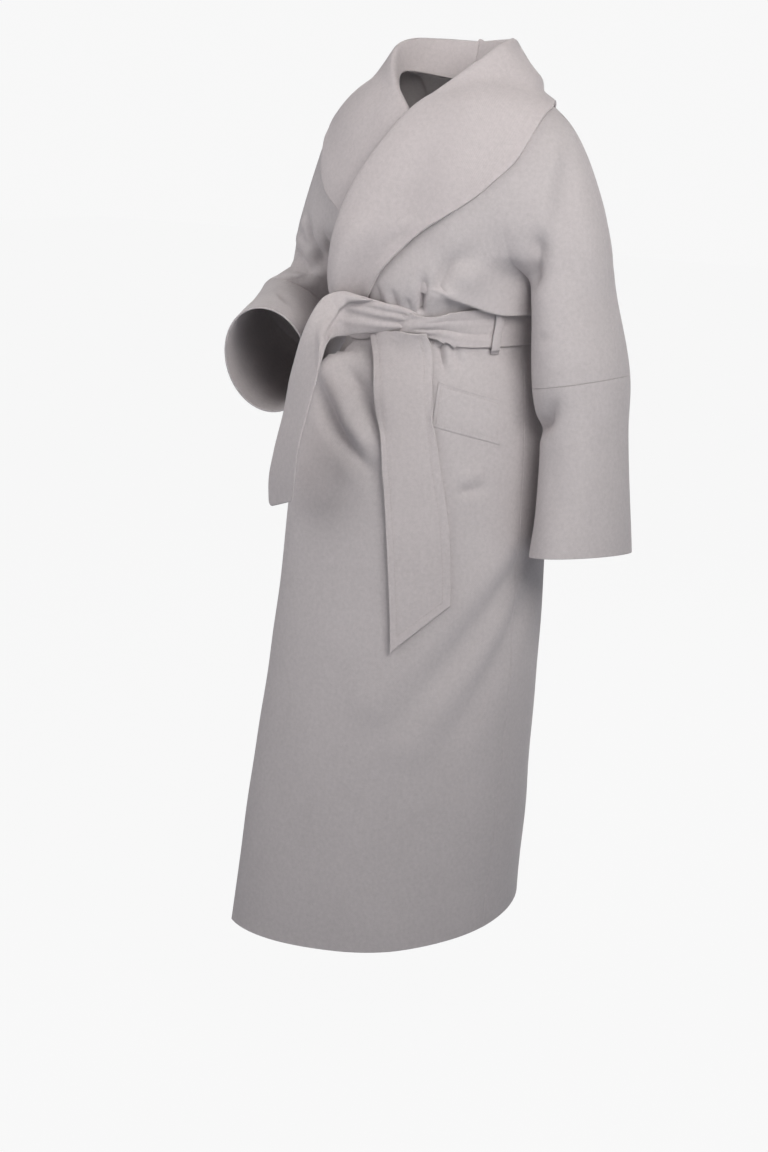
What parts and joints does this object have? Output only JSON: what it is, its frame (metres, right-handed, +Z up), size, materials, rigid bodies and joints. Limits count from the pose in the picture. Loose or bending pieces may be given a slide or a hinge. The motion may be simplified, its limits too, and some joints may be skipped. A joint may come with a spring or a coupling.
{
  "type": "robe coat",
  "caption": "Long wrap coat of soft wool with a deep shawl collar, batwing sleeves with wide lower sleeves, slanted welts and a tie belt, held hollow as worn.",
  "frame": {"origin": "middle of the base of the neck between the shoulder seams, where the wearer's shoulders hold the coat", "axes": "+Z up, the front faces -Y, the wearer's left is +X"},
  "size_m": [0.6263, 0.4484, 1.3021],
  "materials": {
    "coat_wool": "matt brushed wool coating, greige",
    "collar_wool": "matt brushed wool coating, greige, doubled",
    "belt_wool": "matt brushed wool coating, greige, doubled and topstitched"
  },
  "bodies": {
    "root": {"front_left": "coat_wool", "front_right": "coat_wool", "back": "coat_wool", "sleeve_lower_left": "coat_wool", "sleeve_lower_right": "coat_wool", "collar_left": "collar_wool", "collar_right": "collar_wool", "belt_band": "belt_wool", "belt_knot": "belt_wool", "belt_tail_long": "belt_wool", "belt_tail_short": "belt_wool", "belt_loop_left": "coat_wool", "belt_loop_right": "coat_wool", "pocket_left": "coat_wool", "pocket_right": "coat_wool"}
  },
  "joints": []
}
